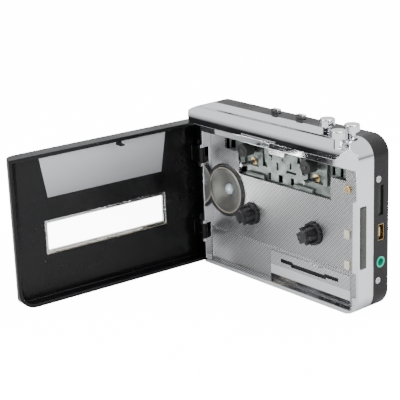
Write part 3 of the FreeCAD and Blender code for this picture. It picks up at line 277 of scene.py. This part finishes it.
def window_silver():
    """Silvered plastic panel: satin, with a fine brushed grain, and painted light that makes it paler
    towards its top.
    """
    bottom, top = 50.0, 70.0
    material = surface("window_silver", (0.70, 0.72, 0.74), 0.55, 0.34, edge=0.4)
    tree = material.node_tree
    vary_roughness(material, speckle(tree, 6, stretch=(1, 8, 1)), 0.28, 0.40)
    height = add(tree, "ShaderNodeSeparateXYZ", Vector=millimetres(tree)).outputs[2]
    painted_light_fade = add(tree, "ShaderNodeMapRange", Value=height, From_Min=bottom, From_Max=top)
    # painted light: the colour runs from dark at the bottom to pale at the top
    vary_colour(material, painted_light_fade.outputs[0], (0.30, 0.31, 0.325), (0.62, 0.635, 0.655))
    relief(material, speckle(tree, 0.3, stretch=(1, 14, 1)), 0.006)
    return material


def zinc_steel():
    """Galvanised sheet: grey-green with a soft spangle."""
    material = surface("zinc_steel", (0.34, 0.38, 0.36), 0.85, 0.34, edge=0.2)
    tree = material.node_tree
    vary_colour(material, grains(tree, 3.2), (0.15, 0.175, 0.165), (0.24, 0.27, 0.25))
    vary_roughness(material, speckle(tree, 4), 0.36, 0.52)
    relief(material, speckle(tree, 0.8), 0.01)
    return material


def bright_steel():
    """Turned or drawn steel with fine lines along it."""
    material = surface("bright_steel", (0.66, 0.66, 0.67), 1.0, 0.22, edge=0.15)
    tree = material.node_tree
    vary_roughness(material, speckle(tree, 1.5, stretch=(1, 1, 6)), 0.14, 0.30)
    relief(material, speckle(tree, 0.2, stretch=(6, 1, 1)), 0.004)
    return material


def brass():
    """Dulled brass, darker in patches."""
    material = surface("brass", (0.70, 0.52, 0.27), 1.0, 0.28, edge=0.15)
    tree = material.node_tree
    vary_colour(material, speckle(tree, 1.4), (0.50, 0.36, 0.18), (0.78, 0.60, 0.33))
    vary_roughness(material, speckle(tree, 0.8), 0.2, 0.4)
    return material


def spindle_black():
    """Moulded black plastic, greyed where edges rub."""
    material = surface("spindle_black", (0.018, 0.018, 0.02), 0.0, 0.33, edge=0.25)
    tree = material.node_tree
    vary_colour(material, rubbed_edges(tree, 0.3), (0.015, 0.015, 0.017), (0.11, 0.11, 0.11))
    vary_roughness(material, speckle(tree, 3), 0.24, 0.42)
    return material


def gear_white():
    """Milky nylon."""
    material = surface("gear_white", (0.80, 0.80, 0.77), 0.0, 0.42, edge=0.12)
    tree = material.node_tree
    shader_of(material).inputs["Subsurface Weight"].default_value = 0.15
    vary_roughness(material, speckle(tree, 2), 0.34, 0.5)
    return material


def rubber_black():
    """Matt rubber with a faint grain."""
    material = surface("rubber_black", (0.028, 0.028, 0.028), 0.0, 0.72, edge=0.2)
    tree = material.node_tree
    vary_roughness(material, speckle(tree, 2), 0.6, 0.82)
    relief(material, speckle(tree, 0.3), 0.02)
    return material


def speaker_grey():
    """Spun grey metal, mottled, with a fine grain."""
    material = surface("speaker_grey", (0.20, 0.20, 0.19), 0.7, 0.36, edge=0.2)
    tree = material.node_tree
    vary_colour(material, speckle(tree, 5), (0.15, 0.15, 0.14), (0.26, 0.26, 0.24))
    vary_roughness(material, speckle(tree, 1.2), 0.28, 0.46)
    relief(material, speckle(tree, 0.25), 0.01)
    return material


def speaker_rim():
    """The pale pressed paper ring just inside the black roll."""
    material = surface("speaker_rim", (0.42, 0.39, 0.33), 0.1, 0.5, edge=0.2)
    tree = material.node_tree
    vary_colour(material, speckle(tree, 2), (0.34, 0.31, 0.26), (0.48, 0.45, 0.38))
    relief(material, speckle(tree, 0.3), 0.02)
    return material


def speaker_cap():
    """The pale blue-grey cap in the cone's middle."""
    material = surface("speaker_cap", (0.58, 0.66, 0.72), 0.2, 0.3, edge=0.1)
    vary_roughness(material, speckle(material.node_tree, 1.5), 0.2, 0.4)
    return material


def magnet_dark():
    """Sintered grey magnet."""
    material = surface("magnet_dark", (0.07, 0.07, 0.075), 0.3, 0.5)
    vary_roughness(material, speckle(material.node_tree, 2), 0.4, 0.6)
    return material


def board_green():
    """Lacquered circuit board."""
    material = surface("board_green", (0.02, 0.19, 0.08), 0.0, 0.3)
    vary_colour(material, grains(material.node_tree, 1.5), (0.015, 0.15, 0.06), (0.03, 0.24, 0.11))
    return material


def jack_green():
    """Glossy green plastic ring."""
    material = surface("jack_green", (0.01, 0.42, 0.27), 0.0, 0.3, edge=0.15)
    vary_roughness(material, speckle(material.node_tree, 1.5), 0.22, 0.4)
    return material


def cell_wrap():
    """The dull black wrap of a dry cell; its near-black colour is also painted shade for what shows
    through the battery cover's slots.
    """
    # painted shade: the near-black wrap makes the battery cover's slots look dark
    material = surface("cell_wrap", (0.012, 0.012, 0.014), 0.0, 0.6)
    vary_roughness(material, speckle(material.node_tree, 6), 0.5, 0.7)
    return material


def pad_ivory():
    """Ivory felt or adhesive, a little uneven."""
    material = surface("pad_ivory", (0.80, 0.74, 0.60), 0.0, 0.55, edge=0.2)
    tree = material.node_tree
    vary_colour(material, speckle(tree, 1.2), (0.70, 0.63, 0.49), (0.84, 0.79, 0.66))
    return material


def volume_grey():
    """Dark grey plastic, paler along its ribs."""
    material = surface("volume_grey", (0.06, 0.06, 0.055), 0.0, 0.5, edge=0.08)
    tree = material.node_tree
    vary_colour(material, rubbed_edges(tree, 0.15), (0.05, 0.05, 0.046), (0.13, 0.13, 0.12))
    vary_roughness(material, speckle(tree, 2), 0.4, 0.58)
    return material


def contact_gold():
    """Gilded contact strip."""
    material = surface("contact_gold", (0.85, 0.62, 0.26), 1.0, 0.22, edge=0.05)
    vary_roughness(material, speckle(material.node_tree, 1), 0.16, 0.34)
    return material


SLOTS = (chrome, knurled_chrome, cover_chrome, black_shell, door_black, window_clear,
         window_silver, zinc_steel, bright_steel, brass, spindle_black, gear_white, rubber_black,
         speaker_grey, magnet_dark, board_green, jack_green, cell_wrap, pad_ivory, volume_grey,
         speaker_rim, speaker_cap, contact_gold)
MATERIALS = {make.__name__: make() for make in SLOTS}


def finish_with(piece, slot):
    """Gives a piece the material of a slot and no other."""
    piece.data.materials.clear()
    piece.data.materials.append(MATERIALS[slot])


def paint_nodes():
    """Every node takes its record's slot, and the floor and battery cover their own woven finish."""
    for row in frame["record"]["subparts"]:
        finish_with(frame["nodes"][row["node"]], row["material_slot"])
    finish_with(frame["nodes"]["well_floor"], "knurled_chrome")
    finish_with(frame["nodes"]["battery_cover"], "cover_chrome")


# ---------------------------------------------------------------- mesh helpers

def new_piece(name, mesh_builder, slot, body="root"):
    """A smooth-shaded mesh piece that rides on a body."""
    mesh = bpy.data.meshes.new(name)
    shape = bmesh.new()
    mesh_builder(shape)
    bmesh.ops.recalc_face_normals(shape, faces=shape.faces)
    shape.to_mesh(mesh)
    shape.free()
    mesh.shade_smooth()
    mesh.set_sharp_from_angle(angle=radians(35))
    piece = bpy.data.objects.new(name, mesh)
    bpy.context.scene.collection.objects.link(piece)
    finish_with(piece, slot)
    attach(piece, body)
    return piece


def lathe(shape, profile, centre, steps=96):
    """Turns (radius, forward) points about an axis along Y through centre; forward is towards -Y."""
    rings = []
    for radius, forward in profile:
        ring = [shape.verts.new(centre + Vector((radius * cos(2 * pi * i / steps), -forward,
                                                 radius * sin(2 * pi * i / steps)))) for i in range(steps)]
        rings.append(ring)
    for inner, outer in zip(rings, rings[1:]):
        for i in range(steps):
            j = (i + 1) % steps
            shape.faces.new((inner[i], inner[j], outer[j], outer[i]))
    return rings


# ---------------------------------------------------------------- added detail

def speaker_detail():
    """The black roll and the pale ring round the cone, and the cap in its middle."""
    roll_width, rim_width, root = 1.5 * MM, 0.6 * MM, -0.4 * MM
    cap_radius, cap_rise = 2.7 * MM, 1.1 * MM
    low, high = (Vector(v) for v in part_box("speaker_frame"))
    middle = (low + high) / 2
    radius = (high.x - low.x) / 2
    face = Vector((middle.x, low.y, middle.z))

    def ring(outside, width, rise):
        """Profile of a rounded ring from its outer radius inwards, rise above the speaker's face."""
        centre = outside - width / 2
        turns = [pi * k / 10 for k in range(11)]
        bead = [(centre + width / 2 * cos(t), rise * sin(t)) for t in turns]
        return [(outside, root)] + bead + [(outside - width, root)]

    roll = ring(radius, roll_width, 0.55 * MM)
    rim = ring(radius - roll_width, rim_width, 0.2 * MM)
    new_piece("speaker_roll", lambda shape: lathe(shape, roll, face), "rubber_black")
    new_piece("speaker_rim", lambda shape: lathe(shape, rim, face), "speaker_rim")

    def cap(shape):
        turns = [pi / 2 * k / 8 for k in range(9)]
        dome = [(cap_radius * cos(t), -cap_radius + cap_rise * sin(t)) for t in turns]
        skirt = (cap_radius + 0.2 * MM, -3.4 * MM)
        rings = lathe(shape, [skirt] + dome[:-1], face, steps=48)
        shape.faces.new(rings[-1])
    new_piece("speaker_cap", cap, "speaker_cap")


def ribbed_volume():
    """The volume roller with its moulded grip: flutes along it, ringed by shallow grooves."""
    pin_length, flute_depth, groove_depth, end_taper = 1.1 * MM, 0.11 * MM, 0.05 * MM, 0.75
    flutes, levels = 28, 46
    low, high = (Vector(v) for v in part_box("volume_roller"))
    low.z, high.z = low.z + pin_length, high.z - pin_length
    middle = (low + high) / 2
    radius = (high.x - low.x) / 2

    def grip(shape):
        rings = []
        for k in range(levels + 1):
            along = k / levels
            z = low.z + (high.z - low.z) * along
            end = end_taper if k in (0, levels) else 1.0
            groove = groove_depth * (k % 2)
            ring = []
            for i in range(flutes * 4):
                turn = 2 * pi * i / (flutes * 4)
                flute = flute_depth * (1 - cos(turn * flutes)) / 2
                reach = (radius - flute - groove) * end
                spot = (middle.x + reach * cos(turn), middle.y + reach * sin(turn), z)
                ring.append(shape.verts.new(spot))
            rings.append(ring)
        count = len(rings[0])
        for below, above in zip(rings, rings[1:]):
            for i in range(count):
                j = (i + 1) % count
                shape.faces.new((below[i], below[j], above[j], above[i]))
        shape.faces.new(rings[0])
        shape.faces.new(rings[-1])
    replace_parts(new_piece("volume_grip", grip, "volume_grey", "volume"), "volume_roller")


def usb_contacts():
    """Five gilded strips on the tongue inside the USB socket."""
    low, high = (Vector(v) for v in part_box("usb_socket"))
    middle = (low + high) / 2
    width, pitch = 0.45 * MM, 0.8 * MM
    along = (high.x - 6.5 * MM, high.x - 1.0 * MM)
    face = (middle.y - 0.52 * MM, middle.y - 0.38 * MM)

    def strips(shape):
        for i in range(5):
            z = middle.z + (i - 2) * pitch
            add_slab(shape, along, face, (z - width / 2, z + width / 2))
    new_piece("usb_contacts", strips, "contact_gold")


def add_slab(shape, x, y, z, chamfer=0.05 * MM):
    """A small block with chamfered edges."""
    made = bmesh.ops.create_cube(shape, size=1)
    size = Vector((x[1] - x[0], y[1] - y[0], z[1] - z[0]))
    centre = Vector(((x[0] + x[1]) / 2, (y[0] + y[1]) / 2, (z[0] + z[1]) / 2))
    place = Matrix.Translation(centre) @ Matrix.Diagonal((*size, 1))
    bmesh.ops.transform(shape, matrix=place, verts=made["verts"])
    edges = list({e for v in made["verts"] for e in v.link_edges})
    bmesh.ops.bevel(shape, geom=edges, offset=min(chamfer, min(size) / 4), segments=2, affect="EDGES")


def shut(node):
    """A door node's box with the door shut, and the turn from there to its open rest place."""
    hinge = next(j for j in frame["joints"] if j["name"] == "door_hinge")
    place = Vector(hinge["pos_m"])
    turn = Matrix.Rotation(radians(min(hinge["range_deg"])), 4, "Z")
    opening = Matrix.Translation(place) @ turn @ Matrix.Translation(-place)
    corners = [opening.inverted() @ v.co for v in frame["nodes"][node].data.vertices]
    low = Vector([min(c[i] for c in corners) for i in range(3)])
    high = Vector([max(c[i] for c in corners) for i in range(3)])
    return low, high, opening


def window_liner():
    """The cream edge that lines the clear window's opening."""
    low, high, opening = shut("door_window")
    seat, thick, sunk, proud = 1.4 * MM, 0.25 * MM, 0.5 * MM, 0.02 * MM
    left, right, bottom, top = low.x + seat, high.x - seat, low.z + seat, high.z - seat
    depth = (low.y - sunk, low.y + proud)

    def frame_of_slabs(shape):
        add_slab(shape, (left, right), depth, (bottom, bottom + 2 * thick))
        add_slab(shape, (left, right), depth, (top - thick, top))
        add_slab(shape, (left, left + thick), depth, (bottom, top))
        add_slab(shape, (right - thick, right), depth, (bottom, top))
        bmesh.ops.transform(shape, matrix=opening, verts=shape.verts)
    new_piece("window_liner", frame_of_slabs, "pad_ivory", "door")


# ---------------------------------------------------------------- studio

def floor():
    """A pale floor that lights the player as it is, but looks pure white to the camera, also
    through the clear window, and slightly grey in the plating."""
    plain, in_plating, glow = (0.92, 0.92, 0.92), (0.72, 0.72, 0.73), 14.0
    bpy.ops.mesh.primitive_plane_add(size=4)
    ground = bpy.context.object
    ground.name = "floor"
    ground.location.z = -0.0002
    material = bpy.data.materials.new("studio_floor")
    material.use_nodes = True
    shader = material.node_tree.nodes["Principled BSDF"]
    shader.inputs["Roughness"].default_value = 0.7
    shader.inputs["Specular IOR Level"].default_value = 0.1
    tree = material.node_tree
    path = tree.nodes.new("ShaderNodeLightPath")
    seen = math(tree, "MAXIMUM", path.outputs["Is Camera Ray"], path.outputs["Is Transmission Ray"])
    shader.inputs["Emission Color"].default_value = (1, 1, 1, 1)
    tree.links.new(math(tree, "MULTIPLY", seen, glow), shader.inputs["Emission Strength"])
    vary_colour(material, path.outputs["Is Glossy Ray"], plain, in_plating)
    ground.data.materials.append(material)


def lamp(name, place, size, power):
    """A square soft box at place, aimed at the middle of the player."""
    light = bpy.data.lights.new(name, "AREA")
    light.size = size
    light.energy = power
    holder = bpy.data.objects.new(name, light)
    holder.location = place
    aim = Vector((0, 0, 0.04)) - Vector(place)
    holder.rotation_euler = aim.to_track_quat("-Z", "Y").to_euler()
    bpy.context.scene.collection.objects.link(holder)


def world():
    """A studio that is bright overhead and behind and dim low in front, for the plating to show.
    The camera itself sees it white."""
    dim, bright, white = (0.015, 0.015, 0.017, 1), (0.96, 0.965, 0.98, 1), (11, 11, 11, 1)
    backdrop = bpy.data.worlds.new("studio")
    bpy.context.scene.world = backdrop
    backdrop.use_nodes = True
    tree = backdrop.node_tree
    direction = tree.nodes.new("ShaderNodeTexCoord").outputs["Generated"]
    way = add(tree, "ShaderNodeSeparateXYZ", Vector=direction)
    brightness = math(tree, "ADD", way.outputs[2], math(tree, "MULTIPLY", way.outputs[1], 0.5))
    ramp = tree.nodes.new("ShaderNodeValToRGB")
    for stop, (position, colour) in zip(ramp.color_ramp.elements, ((0.30, dim), (0.56, bright))):
        stop.position = position
        stop.color = colour
    tree.links.new(brightness, ramp.inputs[0])
    seen = add(tree, "ShaderNodeMix")
    seen.data_type = "RGBA"
    tree.links.new(tree.nodes.new("ShaderNodeLightPath").outputs["Is Camera Ray"], seen.inputs[0])
    tree.links.new(ramp.outputs[0], seen.inputs[6])
    seen.inputs[7].default_value = white
    tree.links.new(seen.outputs[2], tree.nodes["Background"].inputs["Color"])
    tree.nodes["Background"].inputs["Strength"].default_value = 1.3


def camera():
    """The camera stands off the front right corner, above the player, and looks down at it."""
    azimuth, elevation, roll = radians(49.97), radians(17.78), radians(-2.05)
    place = (0.42825, -0.40949, 0.23326)
    backward = Vector((sin(azimuth) * cos(elevation), -cos(azimuth) * cos(elevation), sin(elevation)))
    right = Vector((cos(azimuth), sin(azimuth), 0))
    up = backward.cross(right)
    turned_right = right * cos(roll) + up * sin(roll)
    turned_up = backward.cross(turned_right)
    lens = bpy.data.cameras.new("camera")
    lens.lens = 116.91
    lens.sensor_width = 36
    lens.clip_start = 0.01
    view = bpy.data.objects.new("camera", lens)
    turn = Matrix((turned_right, turned_up, backward)).transposed().to_4x4()
    view.matrix_world = Matrix.Translation(place) @ turn
    bpy.context.scene.collection.objects.link(view)
    bpy.context.scene.camera = view


def studio():
    """The floor, three soft boxes, the surroundings and the camera."""
    floor()
    lamp("key_light", (-0.35, -0.75, 0.75), size=0.55, power=9)
    lamp("side_light", (0.85, -0.10, 0.55), size=0.45, power=6)
    lamp("top_light", (0.05, 0.25, 0.95), size=0.60, power=7)
    world()
    camera()


paint_nodes()
speaker_detail()
ribbed_volume()
usb_contacts()
window_liner()
studio()
